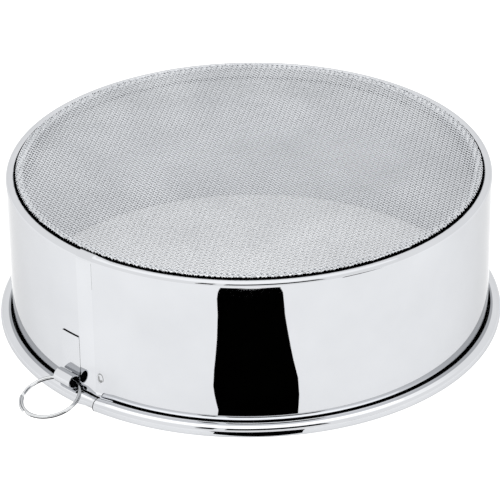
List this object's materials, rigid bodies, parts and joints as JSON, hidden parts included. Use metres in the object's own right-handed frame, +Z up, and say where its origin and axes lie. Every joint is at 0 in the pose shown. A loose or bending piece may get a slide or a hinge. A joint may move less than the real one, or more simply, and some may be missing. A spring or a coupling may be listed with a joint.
{
  "type": "drum sieve",
  "caption": "Round polished steel drum sieve with a rolled rim, woven wire cloth stretched over one end and a small hanging ring on the wall.",
  "frame": {"origin": "centre of the circle that the rolled rim rests on", "axes": "+Z up the drum's axis from the rolled rim to the wire cloth; -Y towards the hanger; +X to the right when facing the hanger"},
  "size_m": [0.2106, 0.2311, 0.0686],
  "materials": {
    "polished_sheet": "mirror-polished stainless sheet",
    "hoop_sheet": "bright stainless sheet",
    "woven_wire": "bright drawn stainless wire, plain weave",
    "strap_sheet": "polished stainless strip",
    "ring_wire": "bright plated steel wire"
  },
  "bodies": {
    "sieve": {"shell": "polished_sheet", "mesh_hoop": "hoop_sheet", "wire_cloth": "woven_wire", "hanger_strap": "strap_sheet"},
    "ring": {"hanging_ring": "ring_wire"}
  },
  "joints": [
    {"name": "ring_swing", "type": "hinge", "parent": "sieve", "child": "ring", "pos_m": [0, -0.10322, 0.0095], "axis": [-1, 0, 0], "range_deg": [-36, 111]}
  ]
}
